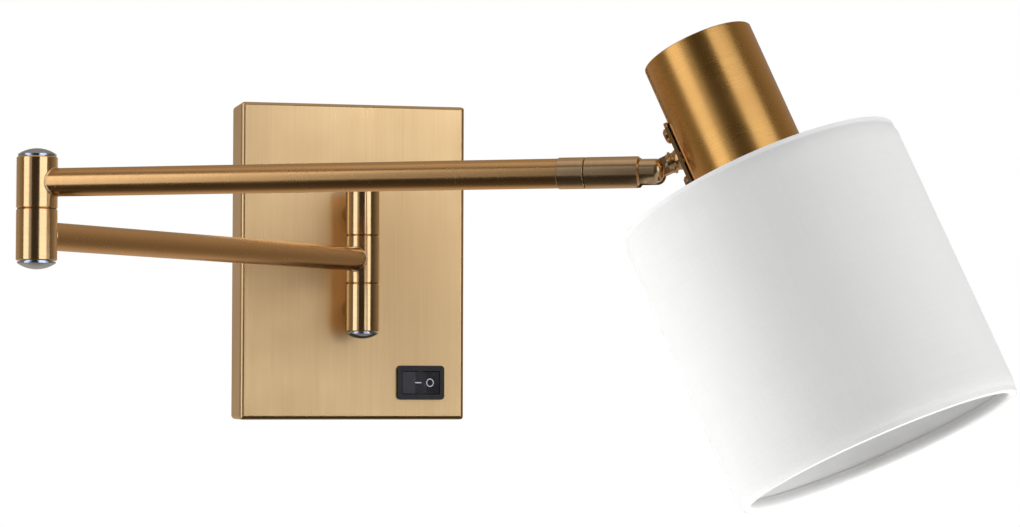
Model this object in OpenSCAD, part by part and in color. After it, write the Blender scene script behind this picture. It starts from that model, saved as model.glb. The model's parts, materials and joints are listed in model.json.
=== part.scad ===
// Swing arm wall sconce: a wall plate with a rocker switch, a two-part swing arm,
// a turning and tilting head, a brass cup and a fabric drum shade.
// Millimetres. The origin is the middle of the plate's back on the wall, +Y goes into the wall,
// +X to the right and +Z up.

/* [Back plate] */
// Width of the back plate
plate_w = 100; // [92:1:120]
// Height of the back plate
plate_h = 139; // [132:1:170]
// Depth of the back plate from the wall to its front
plate_d = 25; // [25:0.5:32]
// Sheet thickness of the back plate
plate_wall = 1.2; // [0.8:0.1:1.6]
// Radius of the plate's front edges
plate_edge_r = 1.8; // [1.4:0.1:2.4]

/* [Wall bracket] */
// Sheet thickness of the wall bracket
bracket_t = 1.5; // [1.2:0.1:2]
// Width of the wall bracket
bracket_w = 84; // [80:1:88]
// Depth of the bracket's end flanges
flange_d = 12; // [10:0.5:14]
// Width of the bracket's end flanges
flange_w = 30; // [20:1:40]
// Distance between the two wall screws
wall_screw_pitch = 60; // [56:1:66]
// Radius of the wall screw slots
wall_slot_r = 2.25; // [2:0.05:2.6]
// Length of the wall screw slots, end to end
wall_slot_l = 14; // [10:1:16]
// Distance of the cover screws from the wall
cover_screw_y = 6; // [5:0.5:7]
// Shank radius of the cover screws
cover_screw_r = 2; // [1.5:0.1:2]

/* [Barrels and pivots] */
// Outer radius of the pivot barrels
barrel_r = 7.4; // [7.2:0.1:9]
// Height of the turning knuckle at the wall
wall_knuckle_h = 20.4; // [18:0.2:24]
// Height of each fixed barrel at the wall
wall_barrel_h = 20.6; // [18:0.2:24]
// Gap between the plate's front and the wall pivot's axis
pivot_reach = 21.2; // [20:0.2:26]
// Outer radius of the pivot tubes
pivot_tube_r = 4; // [3.8:0.1:4.2]
// Inner radius of the pivot tubes
pivot_tube_bore_r = 2.9; // [2.6:0.1:3]
// Running clearance of a turning knuckle on its pivot tube
pivot_clearance = 0.06; // [0.04:0.01:0.1]
// Thickness of the pivot washers
pivot_washer_t = 0.26; // [0.2:0.02:0.4]
// Height of the dome of the end caps
cap_dome_h = 2.2; // [1.8:0.1:2.8]

/* [Arm] */
// Length of each arm between its axes
arm_l = 227.7; // [200:0.5:260]
// Outer radius of the arm tubes and the posts
arm_tube_r = 5.15; // [4.8:0.05:5.4]
// Wall thickness of the arm tubes
arm_tube_wall = 1; // [0.8:0.1:1.2]
// Height of each knuckle at the elbow
elbow_knuckle_h = 18.6; // [17:0.2:22]
// Direction of the lower arm, anticlockwise from +X
lower_arm_angle = 228; // [200:1:300]
// Direction of the upper arm, anticlockwise from +X
upper_arm_angle = -29.2; // [-60:0.5:0]

/* [Head joint] */
// Thickness of the collar over the end of the arm tube
collar_wall = 0.3; // [0.25:0.05:0.6]
// Length of the swivel body behind the tilt screw
swivel_back = 23.4; // [20:0.2:28]
// Length of the collar
collar_l = 9.7; // [9:0.1:12]
// Radius of the swivel's nose
nose_r = 4.6; // [4.5:0.05:4.8]
// Length of the nose behind the tilt screw
nose_back = 4.3; // [4.2:0.1:5]
// Length of the nose in front of the tilt screw
nose_front = 4.2; // [4:0.1:4.4]
// Thickness of the tongue in the nose's slot
tongue_t = 3.2; // [2.8:0.1:3.4]
// Thickness of the washer on the tongue
tongue_washer_t = 0.7; // [0.5:0.1:0.9]
// Radius of the boss between the washer and the cup bracket
boss_r = 3.9; // [3.8:0.1:4.4]
// Turn of the head about the upper arm
head_roll = -5; // [-10:1:0]
// Lean of the head, its top towards the arm
head_tilt = 24.8; // [15:0.2:35]

/* [Cup and lamp holder] */
// Outer radius of the cup
cup_r = 19.5; // [19:0.1:22]
// Sheet thickness of the cup
cup_wall = 1; // [0.8:0.1:1.2]
// Height of the cup's top above the tilt screw
cup_above = 32.2; // [28:0.2:40]
// Depth of the cup's rim below the tilt screw
cup_below = 27; // [25:0.2:29]
// Gap between the tilt screw and the side of the cup
cup_gap = 11.4; // [11.4:0.1:14]
// Height of the cup bracket
cup_bracket_h = 26; // [24:0.5:28]
// Width of the cup bracket
cup_bracket_w = 9; // [8.6:0.1:10]
// Sheet thickness of the cup bracket
cup_bracket_t = 1.2; // [1:0.1:1.4]
// Distance of each bracket screw from the tongue
cup_screw_pitch = 9; // [8.6:0.1:9.6]
// Inner radius of the lamp socket's screw shell
socket_r = 7.1; // [7:0.05:7.2]
// Outer radius of the lamp holder
holder_r = 13; // [12.5:0.1:13.4]

/* [Shade] */
// Outer radius of the drum shade
shade_r = 49.5; // [47:0.5:60]
// Height of the drum shade
shade_h = 99.5; // [90:0.5:130]
// Depth of the shade's top below the tilt screw
shade_drop = 19.5; // [18:0.5:20]
// Thickness of the shade's fabric
fabric_t = 0.4; // [0.3:0.1:0.6]
// Thickness of the shade's stiff liner
liner_t = 0.4; // [0.3:0.1:0.5]
// Radius of the shade's wire
shade_wire_r = 1.2; // [1:0.1:1.5]

/* [Switch] */
// Sideways place of the switch on the plate
switch_x = 30.2; // [24:0.1:32]
// Height of the switch from the plate's middle
switch_z = -53.2; // [-54:0.1:-46]
// Width of the switch's bezel
bezel_w = 21; // [20.6:0.1:22]
// Height of the switch's bezel
bezel_h = 15; // [14.6:0.1:16]
// Length of the rocker
rocker_l = 16.2; // [15.6:0.1:16.3]
// Height of the rocker
rocker_h = 9.6; // [9:0.1:9.8]
// Tilt of the rocker to each side
rocker_tilt = 7; // [5:0.5:8]

/* [Leads] */
// Radius of the lead inside the arms
lead_r = 1.5; // [1.2:0.1:1.6]

/* [Swing] */
// Swing of the lower arm clockwise from where it stands
wall_swing_low = -38; // [-45:1:0]
// Swing of the lower arm anticlockwise from where it stands
wall_swing_high = 44; // [0:1:60]
// Swing of the upper arm clockwise from where it stands
elbow_swing_low = -100; // [-110:1:0]
// Swing of the upper arm anticlockwise from where it stands
elbow_swing_high = 20; // [0:1:40]

/* [Hidden] */
$fn = 96;
// Overlap that makes a cut run clear of a face
cut = 1;
// Gap between two pieces of one body that lie side by side
fit_gap = 0.1;
// Gap between two pieces that a screw or a glue line holds together
seat_gap = 0.05;
// Gap between two pieces of different bodies that turn on each other
turn_gap = 0.3;
// Axial clearance beside a turning knuckle
face_gap = 0.03;

axis_y = -plate_d - pivot_reach;
wall_barrel_z = wall_knuckle_h / 2 + pivot_washer_t + 2 * face_gap;
post_z = wall_barrel_z + wall_barrel_h / 2;
barrel_end_cut = 0.35;
counterbore_r = 6.2;
counterbore_d = 4;
cap_neck_r = 5.9;
cap_lip_r = barrel_r - 0.5;
cap_lip_h = 0.6;
cap_gap = 0.35;
cap_grip_d = 2.6;

post_spigot_r = 4;
post_spigot_l = 8;
post_bore_r = 2;
post_nut_w = 13;
post_nut_t = 4;
post_washer_r = 8;
post_washer_t = 1;

knuckle_lead_hole_r = 2.4;
// Part of the pivot tube's circumference cut away where the lead leaves it
window_h = 4.6;
// Room for the lead beyond each end of the swing
window_spare = 48;
wall_window_angle = wall_swing_high - wall_swing_low + 2 * window_spare;
wall_window_middle = lower_arm_angle + (wall_swing_low + wall_swing_high) / 2;
elbow_window_angle = elbow_swing_high - elbow_swing_low + 2 * window_spare;
elbow_window_middle = upper_arm_angle + (elbow_swing_low + elbow_swing_high) / 2;
// Height of the elbow's parting line above the end of a centred lower knuckle
elbow_split_shift = 0.15;
elbow_washer_z = elbow_knuckle_h / 2 + elbow_split_shift;
upper_arm_z = elbow_washer_z + pivot_washer_t + 2 * face_gap + elbow_knuckle_h / 2;
elbow_pos = [arm_l * cos(lower_arm_angle), axis_y + arm_l * sin(lower_arm_angle), 0];
elbow_low_z = elbow_washer_z - elbow_knuckle_h;
elbow_top_z = upper_arm_z + elbow_knuckle_h / 2;

swivel_r = arm_tube_r + collar_wall;
collar_start = arm_l - swivel_back - turn_gap - collar_l;
collar_bevel = 0.5;
collar_edge = 0.15;
spigot_r = 3;
spigot_bore_r = 1.9;
swivel_nut_t = 2;
collar_socket = 3.6;
collar_web = collar_l - collar_socket;
spigot_end = 0.4;
spigot_l = turn_gap + collar_web + fit_gap + swivel_nut_t + spigot_end;
slot_w = tongue_t + turn_gap;
slot_back = 5.4;
eye_r = 4.1;
tilt_pin_r = 1.5;
tilt_head_r = 2.4;
tilt_head_t = 1.2;
tilt_head_sink = 0.3;
nose_round_r = 3;
tube_end = collar_start + collar_socket;

cup_offset = cup_r + cup_gap;
cup_bracket_x = cup_gap - cup_bracket_t - seat_gap;
tongue_neck_l = 2.7;
tongue_neck_h = 6;
tongue_washer_x = nose_front + tongue_neck_l;
boss_x = tongue_washer_x + tongue_washer_t;
stem_r = 3;
stem_bore_r = 1.8;
stem_collar_r = 3.4;
boss_sleeve = 0.25;
boss_flat = 0.6;
strap_t = 1.5;
strap_w = 10;
strap_x = cup_offset - sqrt(pow(cup_r - cup_wall, 2) - strap_w * strap_w / 4) + fit_gap;
strap_disc_r = 10;
strap_top = 12;
strap_floor = -13;
tongue_nut_t = 2.2;
stem_end = strap_x + strap_t + tongue_nut_t;
cup_screw_r = 1.5;
cup_screw_head_r = 2.7;
cup_screw_head_h = 1.7;
nipple_r = 5;
nipple_bore_r = 3.2;
nipple_nut_t = 3;
nipple_socket = 4;
holder_top = strap_floor - strap_t - 0.2;
holder_end = -55;
skirt_r = 14;
skirt_top = holder_top - 8;
skirt_low = holder_end + 12;
spider_z = -cup_below - 0.1;
spider_t = 1.2;
spider_ring_r = 21;
ring_nut_h = 4;
ring_nut_r = 19;
shell_wall = 0.5;
shell_top = -36.2;
contact_base = -34;

liner_r = shade_r - fabric_t - seat_gap;
shade_ring_r = liner_r - liner_t - shade_wire_r - seat_gap;
wire_inset = 0.4;
shade_top = -shade_drop;
shade_end = shade_top - shade_h;
top_wire_z = shade_top - shade_wire_r - wire_inset;
bottom_wire_z = shade_end + shade_wire_r + wire_inset;
liner_inset = 0.3;
spoke_r = 1.1;
spoke_start = 1.4;

bezel_t = 2;
housing_w = 19;
housing_h = 12.8;
housing_d = 12;
window_w = 17;
window_gap_h = 10.2;
rocker_pivot_z = 0.8;
rocker_top = 2;
rocker_pin_r = 1;
rocker_pin_l = 0.7;
tab_w = 4.8;
tab_t = 0.8;
tab_out = 6;
tab_pitch = 7;
tab_top = -2.9;
contact_arm_l = 14;
wire_r = 0.9;

cover_head_r = 3.2;
cover_head_t = 0.8;
cover_screw_l = 4;
supply_hole_w = 40;
earth_x = -30;
earth_z = -34;
earth_screw_r = 2;

block_w = 30;
block_h = 15;
block_d = 9;
block_z = 22;
block_pitch = 10;
block_screw_r = 1.6;
block_y = -bracket_t - block_d / 2;
block_hole_r = 1.9;
supply_hole_top = block_z - block_h / 2 - 2;
// Gap between two leads that meet on a joint's axis
lead_cut_gap = 0.5;

// Frames: each places its children on one body of the lamp.
module at_wall_pivot() {
    translate([0, axis_y, 0]) children();
}

module on_lower_arm() {
    translate([0, axis_y, 0]) rotate([0, 0, lower_arm_angle]) children();
}

module on_upper_arm() {
    translate(elbow_pos) rotate([0, 0, upper_arm_angle]) children();
}

module on_swivel() {
    on_upper_arm() translate([arm_l, 0, upper_arm_z]) rotate([head_roll, 0, 0]) children();
}

module on_head() {
    on_swivel() rotate([0, -head_tilt, 0]) children();
}

module on_cup_axis() {
    on_head() translate([cup_offset, 0, 0]) children();
}

module on_switch() {
    translate([switch_x, -plate_d, switch_z]) rotate([90, 0, 0]) children();
}

module on_rocker() {
    on_switch() translate([0, 0, rocker_pivot_z]) rotate([0, -rocker_tilt, 0]) children();
}

// Shapes that repeat
module rounded_square(w, h, r) {
    square([w - 2 * r, h], center = true);
    square([w, h - 2 * r], center = true);
    for (sx = [-1, 1]) {
        for (sy = [-1, 1]) {
            translate([sx * (w / 2 - r), sy * (h / 2 - r)]) circle(r = r);
        }
    }
}

// A rectangle from y = 0 back to y = -d whose two front corners at y = -d are rounded
module front_rounded(w, d, r) {
    translate([-w / 2, -d + r]) square([w, d - r]);
    translate([-w / 2 + r, -d]) square([w - 2 * r, d]);
    for (sx = [-1, 1]) {
        translate([sx * (w / 2 - r), -d + r]) circle(r = r);
    }
}

// A block with its back on the wall and every front edge rounded
module plate_block(w, h, d, r) {
    intersection() {
        translate([0, 0, -h / 2]) linear_extrude(h) front_rounded(w, d, r);
        translate([-w / 2, 0, 0]) rotate([90, 0, 90]) linear_extrude(w)
            rotate([0, 0, -90]) front_rounded(h, d, r);
        translate([0, cut, 0]) rotate([90, 0, 0]) linear_extrude(d + 2 * cut) rounded_square(w, h, r);
    }
}

module tube(r, bore_r, h) {
    difference() {
        cylinder(r = r, h = h);
        translate([0, 0, -cut]) cylinder(r = bore_r, h = h + 2 * cut);
    }
}

module hexagon(width, h) {
    cylinder(r = width / sqrt(3), h = h, $fn = 6);
}

// A barrel from z to z + h, its outer edges bevelled
module barrel(z, h, bore_r) {
    difference() {
        translate([0, 0, z]) rotate_extrude() polygon([
            [bore_r, 0], [barrel_r - barrel_end_cut, 0], [barrel_r, barrel_end_cut],
            [barrel_r, h - barrel_end_cut], [barrel_r - barrel_end_cut, h], [bore_r, h]
        ]);
        children();
    }
}

// A domed end cap with its lip at z = 0 and its neck going down
module end_cap(grip_r) {
    dome_base = cap_lip_r;
    dome_ball = (dome_base * dome_base + cap_dome_h * cap_dome_h) / (2 * cap_dome_h);
    difference() {
        union() {
            translate([0, 0, cap_gap]) cylinder(r = cap_lip_r, h = cap_lip_h);
            translate([0, 0, 1 - counterbore_d]) cylinder(r = cap_neck_r, h = counterbore_d - 1 + cap_gap);
            intersection() {
                translate([0, 0, cap_gap + cap_lip_h]) cylinder(r = cap_lip_r, h = cap_dome_h + cut);
                translate([0, 0, cap_gap + cap_lip_h + cap_dome_h - dome_ball]) sphere(r = dome_ball);
            }
        }
        translate([0, 0, -counterbore_d]) cylinder(r = grip_r, h = cap_grip_d + fit_gap);
    }
}

// A tube's side window that spans an angle about the tube's axis, its middle along +X
module window(angle, h) {
    translate([0, 0, -h / 2]) rotate([0, 0, -angle / 2]) rotate_extrude(angle = angle)
        translate([pivot_tube_bore_r - cut, 0]) square([pivot_tube_r - pivot_tube_bore_r + 2 * cut, h]);
}

// A round rod along +X, from x0 to x1
module rod_x(r, x0, x1) {
    translate([x0, 0, 0]) rotate([0, 90, 0]) cylinder(r = r, h = x1 - x0);
}

// A wire of round section through a list of points, with round corners
module wire(r, points) {
    for (i = [0:len(points) - 2]) {
        step = points[i + 1] - points[i];
        reach = norm(step);
        translate(points[i]) rotate([0, acos(step[2] / reach), atan2(step[1], step[0])])
            cylinder(r = r, h = reach);
        if (i > 0) {
            translate(points[i]) sphere(r = r);
        }
    }
}

// A screw with a bevelled head above z = 0 and a cross recess in it
module pan_screw(head_r, head_h, shank_r, shank_l) {
    rim_h = 0.6 * head_h;
    crown_r = 0.72 * head_r;
    cross_l = 1.24 * head_r;
    cross_w = 0.7;
    difference() {
        union() {
            cylinder(r = head_r, h = rim_h);
            translate([0, 0, rim_h]) cylinder(r1 = head_r, r2 = crown_r, h = head_h - rim_h);
            translate([0, 0, -shank_l]) cylinder(r = shank_r, h = shank_l);
        }
        for (a = [0, 90]) {
            rotate([0, 0, a]) translate([-cross_l / 2, -cross_w / 2, head_h / 2])
                cube([cross_l, cross_w, head_h]);
        }
    }
}

// Wall side
module cover_screw_places() {
    for (flip = [0, 1]) {
        mirror([0, 0, flip]) translate([0, -cover_screw_y, plate_h / 2]) children();
    }
}

module wall_bracket() {
    flange_z = plate_h / 2 - plate_wall - fit_gap;
    slot_run = wall_slot_l - 2 * wall_slot_r;
    color("lightgray") difference() {
        union() {
            translate([-bracket_w / 2, -bracket_t, -flange_z]) cube([bracket_w, bracket_t, 2 * flange_z]);
            for (flip = [0, 1]) {
                mirror([0, 0, flip]) translate([-flange_w / 2, -flange_d, flange_z - bracket_t])
                    cube([flange_w, flange_d, bracket_t]);
            }
        }
        translate([-supply_hole_w / 2, -bracket_t - cut, -supply_hole_w / 2])
            cube([supply_hole_w, bracket_t + 2 * cut, supply_hole_w / 2 + supply_hole_top]);
        for (sx = [-1, 1]) {
            for (dx = [-1, 1]) {
                translate([sx * wall_screw_pitch / 2 + dx * slot_run / 2, cut, 0])
                    rotate([90, 0, 0]) cylinder(r = wall_slot_r, h = bracket_t + 2 * cut);
            }
            translate([sx * wall_screw_pitch / 2 - slot_run / 2, -bracket_t - cut, -wall_slot_r])
                cube([slot_run, bracket_t + 2 * cut, 2 * wall_slot_r]);
        }
        cover_screw_places() translate([0, 0, -cover_screw_l - cut])
            cylinder(r = cover_screw_r, h = cover_screw_l + 2 * cut);
        translate([earth_x, cut, earth_z]) rotate([90, 0, 0])
            cylinder(r = earth_screw_r, h = bracket_t + 2 * cut);
    }
}

module back_plate() {
    inner_r = plate_edge_r - plate_wall;
    inner_d = plate_d - plate_wall + cut;
    color("burlywood") difference() {
        plate_block(plate_w, plate_h, plate_d, plate_edge_r);
        translate([0, cut, 0])
            plate_block(plate_w - 2 * plate_wall, plate_h - 2 * plate_wall, inner_d, inner_r);
        for (sz = [-1, 1]) {
            translate([0, -plate_d + plate_wall + cut, sz * post_z]) rotate([90, 0, 0])
                cylinder(r = post_spigot_r, h = plate_wall + 2 * cut);
        }
        on_switch() translate([-housing_w / 2 - fit_gap, -housing_h / 2 - fit_gap, -plate_wall - cut])
            cube([housing_w + 2 * fit_gap, housing_h + 2 * fit_gap, plate_wall + 2 * cut]);
        cover_screw_places() translate([0, 0, -plate_wall - cut])
            cylinder(r = cover_screw_r + fit_gap, h = plate_wall + 2 * cut);
        cover_screw_places() translate([0, 0, -cover_head_t])
            cylinder(r = cover_head_r + fit_gap, h = cover_head_t + cut);
    }
}

module cover_screws() {
    slot_wide = 0.6;
    color("goldenrod") cover_screw_places() translate([0, 0, -cover_head_t]) difference() {
        union() {
            cylinder(r = cover_head_r, h = cover_head_t);
            translate([0, 0, cover_head_t - cover_screw_l]) cylinder(r = cover_screw_r, h = cover_screw_l);
        }
        translate([-cover_head_r, -slot_wide / 2, cover_head_t / 2]) cube([2 * cover_head_r, slot_wide, cut]);
    }
}

module earth_screw() {
    head_r = 3.4;
    head_h = 2;
    color("goldenrod") translate([earth_x, -bracket_t, earth_z]) rotate([90, 0, 0])
        pan_screw(head_r, head_h, earth_screw_r, bracket_t);
}

module terminal_block() {
    color("white") difference() {
        translate([-block_w / 2, -bracket_t - block_d, block_z - block_h / 2])
            cube([block_w, block_d, block_h]);
        for (i = [-1, 0, 1]) {
            translate([i * block_pitch, block_y, block_z - block_h / 2 - cut])
                cylinder(r = block_hole_r, h = block_h + 2 * cut);
            for (sz = [-1, 1]) {
                translate([i * block_pitch, block_y, block_z + sz * block_h / 4])
                    rotate([90, 0, 0]) cylinder(r = block_screw_r, h = block_d);
            }
        }
    }
}

module terminal_screws() {
    screw_l = 2;
    slot_d = 0.7;
    slot_wide = 0.5;
    color("silver") for (i = [-1, 0, 1]) {
        for (sz = [-1, 1]) {
            translate([i * block_pitch, block_y - screw_l, block_z + sz * block_h / 4])
                rotate([90, 0, 0]) difference() {
                    cylinder(r = block_screw_r, h = screw_l);
                    translate([-block_screw_r, -slot_wide / 2, screw_l - slot_d])
                        cube([2 * block_screw_r, slot_wide, cut]);
                }
        }
    }
}

// Posts and wall pivot
module post(side) {
    difference() {
        union() {
            translate([0, axis_y, side * post_z]) rotate([-90, 0, 0])
                cylinder(r = arm_tube_r, h = pivot_reach);
            translate([0, -plate_d, side * post_z]) rotate([-90, 0, 0])
                cylinder(r = post_spigot_r, h = post_spigot_l);
        }
        translate([0, axis_y, side * post_z - arm_tube_r - cut])
            cylinder(r = barrel_r, h = 2 * (arm_tube_r + cut));
        translate([0, axis_y, side * post_z]) rotate([-90, 0, 0])
            cylinder(r = post_bore_r, h = pivot_reach + post_spigot_l + cut);
    }
}

module upper_post() {
    color("burlywood") post(1);
}

module lower_post() {
    color("burlywood") post(-1);
}

module post_places() {
    for (side = [-1, 1]) {
        translate([0, -plate_d + plate_wall, side * post_z]) rotate([-90, 0, 0]) children();
    }
}

module post_washers() {
    color("silver") post_places() tube(post_washer_r, post_spigot_r, post_washer_t);
}

module post_nuts() {
    color("silver") post_places() translate([0, 0, post_washer_t]) difference() {
        hexagon(post_nut_w, post_nut_t);
        translate([0, 0, -cut]) cylinder(r = post_spigot_r, h = post_nut_t + 2 * cut);
    }
}

module fixed_barrel(side) {
    at_wall_pivot() mirror([0, 0, side < 0 ? 1 : 0]) barrel(wall_barrel_z, wall_barrel_h, pivot_tube_r) {
        translate([0, 0, wall_barrel_z + wall_barrel_h - counterbore_d])
            cylinder(r = counterbore_r, h = counterbore_d + cut);
        translate([0, 0, post_z]) rotate([-90, 0, 0]) cylinder(r = post_bore_r, h = barrel_r + cut);
    }
}

module wall_barrel_upper() {
    color("wheat") fixed_barrel(1);
}

module wall_barrel_lower() {
    color("wheat") fixed_barrel(-1);
}

module wall_pivot_tube() {
    half = wall_barrel_z + wall_barrel_h - counterbore_d + cap_grip_d;
    color("tan") at_wall_pivot() difference() {
        translate([0, 0, -half]) tube(pivot_tube_r, pivot_tube_bore_r, 2 * half);
        rotate([0, 0, wall_window_middle]) window(wall_window_angle, window_h);
        translate([0, 0, -post_z]) rotate([-90, 0, 0]) cylinder(r = post_bore_r, h = pivot_tube_r + cut);
    }
}

module wall_pivot_washers() {
    color("dimgray") at_wall_pivot() for (side = [0, 1]) {
        mirror([0, 0, side]) translate([0, 0, wall_knuckle_h / 2 + face_gap])
            tube(barrel_r - 0.35, pivot_tube_r, pivot_washer_t);
    }
}

module wall_cap_upper() {
    color("gainsboro") at_wall_pivot() translate([0, 0, wall_barrel_z + wall_barrel_h]) end_cap(pivot_tube_r);
}

module wall_cap_lower() {
    color("gainsboro") at_wall_pivot() translate([0, 0, -wall_barrel_z - wall_barrel_h])
        mirror([0, 0, 1]) end_cap(pivot_tube_r);
}

module lead_wall() {
    color("ivory") wire(lead_r, [
        [0, axis_y, -lead_r - lead_cut_gap], [0, axis_y, -post_z], [0, block_y, -post_z],
        [0, block_y, block_z - block_h / 2 + 2]
    ]);
}

// Lower arm
module wall_knuckle() {
    color("wheat") on_lower_arm() barrel(-wall_knuckle_h / 2, wall_knuckle_h, pivot_tube_r + pivot_clearance)
        rod_x(knuckle_lead_hole_r, 0, barrel_r + cut);
}

module arm_tube(z, x1) {
    difference() {
        translate([0, 0, z]) rod_x(arm_tube_r, 0, x1);
        translate([0, 0, z]) rod_x(arm_tube_r - arm_tube_wall, -cut, x1 + cut);
        translate([0, 0, z - arm_tube_r - cut]) cylinder(r = barrel_r, h = 2 * (arm_tube_r + cut));
        children();
    }
}

module lower_arm_tube() {
    color("tan") on_lower_arm() arm_tube(0, arm_l)
        translate([arm_l, 0, -arm_tube_r - cut]) cylinder(r = barrel_r, h = 2 * (arm_tube_r + cut));
}

module at_elbow() {
    translate(elbow_pos) children();
}

module elbow_knuckle_lower() {
    color("wheat") at_elbow() barrel(elbow_low_z, elbow_knuckle_h, pivot_tube_r) {
        translate([0, 0, elbow_low_z - cut]) cylinder(r = counterbore_r, h = counterbore_d + cut);
        rotate([0, 0, lower_arm_angle + 180]) rod_x(knuckle_lead_hole_r, 0, barrel_r + cut);
    }
}

module elbow_pivot_tube() {
    low = elbow_low_z + counterbore_d - cap_grip_d;
    high = elbow_top_z - counterbore_d + cap_grip_d;
    color("tan") at_elbow() difference() {
        translate([0, 0, low]) tube(pivot_tube_r, pivot_tube_bore_r, high - low);
        rotate([0, 0, lower_arm_angle + 180]) rod_x(knuckle_lead_hole_r, 0, pivot_tube_r + cut);
        translate([0, 0, upper_arm_z]) rotate([0, 0, elbow_window_middle])
            window(elbow_window_angle, window_h);
    }
}

module elbow_washer() {
    color("dimgray") at_elbow() translate([0, 0, elbow_washer_z])
        tube(barrel_r - 0.35, pivot_tube_r, pivot_washer_t + face_gap);
}

module elbow_cap_upper() {
    color("gainsboro") at_elbow() translate([0, 0, elbow_top_z]) end_cap(pivot_tube_r);
}

module elbow_cap_lower() {
    color("gainsboro") at_elbow() translate([0, 0, elbow_low_z]) mirror([0, 0, 1]) end_cap(pivot_tube_r);
}

module lead_lower_arm() {
    color("ivory") on_lower_arm() wire(lead_r, [
        [0, 0, 0], [arm_l, 0, 0], [arm_l, 0, upper_arm_z - lead_r - lead_cut_gap]
    ]);
}

// Upper arm
module elbow_knuckle_upper() {
    color("wheat") on_upper_arm()
        barrel(upper_arm_z - elbow_knuckle_h / 2, elbow_knuckle_h, pivot_tube_r + pivot_clearance) {
            translate([0, 0, elbow_top_z - counterbore_d])
                cylinder(r = counterbore_r, h = counterbore_d + cut);
            translate([0, 0, upper_arm_z]) rod_x(knuckle_lead_hole_r, 0, barrel_r + cut);
        }
}

module upper_arm_tube() {
    color("tan") on_upper_arm() arm_tube(upper_arm_z, tube_end);
}

module swivel_collar() {
    color("darkkhaki") on_upper_arm() translate([collar_start, 0, upper_arm_z])
    rotate([0, 90, 0]) difference() {
        rotate_extrude() polygon([
            [spigot_r + pivot_clearance, 0], [swivel_r - collar_bevel, 0], [swivel_r, collar_bevel],
            [swivel_r, collar_l - collar_edge], [swivel_r - collar_edge, collar_l],
            [spigot_r + pivot_clearance, collar_l]
        ]);
        translate([0, 0, -cut]) cylinder(r = arm_tube_r, h = collar_socket + cut);
    }
}

module lead_upper_arm() {
    color("ivory") on_upper_arm()
        wire(lead_r, [[0, 0, upper_arm_z], [arm_l - slot_back - 0.6, 0, upper_arm_z]]);
}

// Swivel
module swivel_body() {
    body_l = swivel_back - nose_back;
    color("darkkhaki") on_swivel() difference() {
        union() {
            translate([-swivel_back, 0, 0]) rotate([0, 90, 0]) rotate_extrude() polygon([
                [0, 0], [swivel_r - collar_edge, 0], [swivel_r, collar_edge],
                [swivel_r, body_l - collar_bevel], [swivel_r - collar_bevel, body_l], [0, body_l]
            ]);
            rod_x(spigot_r, -swivel_back - spigot_l, -swivel_back + cut);
            rod_x(nose_r, -nose_back - cut, nose_front - nose_round_r);
            translate([nose_front - nose_round_r, 0, 0]) rotate([0, 90, 0]) rotate_extrude() intersection() {
                square([nose_r, nose_round_r]);
                union() {
                    square([nose_r - nose_round_r, nose_round_r]);
                    translate([nose_r - nose_round_r, 0]) circle(r = nose_round_r);
                }
            }
        }
        rod_x(spigot_bore_r, -swivel_back - spigot_l - cut, -slot_back + cut);
        translate([-slot_back, -slot_w / 2, -swivel_r - cut])
            cube([slot_back + nose_front + cut, slot_w, 2 * (swivel_r + cut)]);
        translate([0, nose_r, 0]) rotate([90, 0, 0]) cylinder(r = tilt_pin_r, h = 2 * nose_r - 1);
        translate([0, nose_r + cut, 0]) rotate([90, 0, 0])
            cylinder(r = tilt_head_r, h = tilt_head_t + tilt_head_sink + cut);
    }
}

module swivel_nut() {
    nut_r = arm_tube_r - arm_tube_wall - turn_gap;
    nut_x = -swivel_back - turn_gap - collar_web - fit_gap - swivel_nut_t;
    color("silver") on_swivel() translate([nut_x, 0, 0]) rotate([0, 90, 0])
        tube(nut_r, spigot_r, swivel_nut_t);
}

module tilt_screw() {
    head_y = nose_r - tilt_head_sink;
    pin_l = 2 * nose_r - tilt_head_t - 1.7;
    slot_d = 0.5;
    slot_wide = 0.7;
    color("silver") on_swivel() difference() {
        union() {
            translate([0, head_y, 0]) rotate([90, 0, 0]) cylinder(r = tilt_head_r, h = tilt_head_t);
            translate([0, head_y - tilt_head_t, 0]) rotate([90, 0, 0]) cylinder(r = tilt_pin_r, h = pin_l);
        }
        translate([-tilt_head_r, head_y - slot_d, -slot_wide / 2]) cube([2 * tilt_head_r, cut, slot_wide]);
    }
}

// Head
module swivel_tongue() {
    collar_t = 0.8;
    color("saddlebrown") on_head() difference() {
        union() {
            translate([0, tongue_t / 2, 0]) rotate([90, 0, 0]) cylinder(r = eye_r, h = tongue_t);
            translate([0, -tongue_t / 2, -tongue_neck_h / 2])
                cube([tongue_washer_x - collar_t / 2, tongue_t, tongue_neck_h]);
            rod_x(stem_collar_r, tongue_washer_x - collar_t, tongue_washer_x);
            rod_x(stem_r, tongue_washer_x - cut, stem_end);
        }
        translate([0, tongue_t, 0]) rotate([90, 0, 0])
            cylinder(r = tilt_pin_r + pivot_clearance, h = 2 * tongue_t);
        rod_x(stem_bore_r, eye_r + collar_t / 2, stem_end + cut);
    }
}

module tongue_washer() {
    color("tan") on_head() translate([tongue_washer_x, 0, 0]) rotate([0, 90, 0])
        tube(boss_r, stem_r, tongue_washer_t);
}

module tongue_boss() {
    l = cup_bracket_x - boss_x;
    color("peru") on_head() translate([boss_x, 0, 0]) rotate([0, 90, 0]) rotate_extrude() difference() {
        union() {
            translate([stem_r, 0]) square([boss_sleeve, l]);
            intersection() {
                translate([stem_r, 0]) square([boss_r, l]);
                translate([0, l + boss_flat]) circle(r = boss_r);
            }
        }
        translate([-cut, l]) square([boss_r + 2 * cut, 2 * boss_r]);
    }
}

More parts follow.
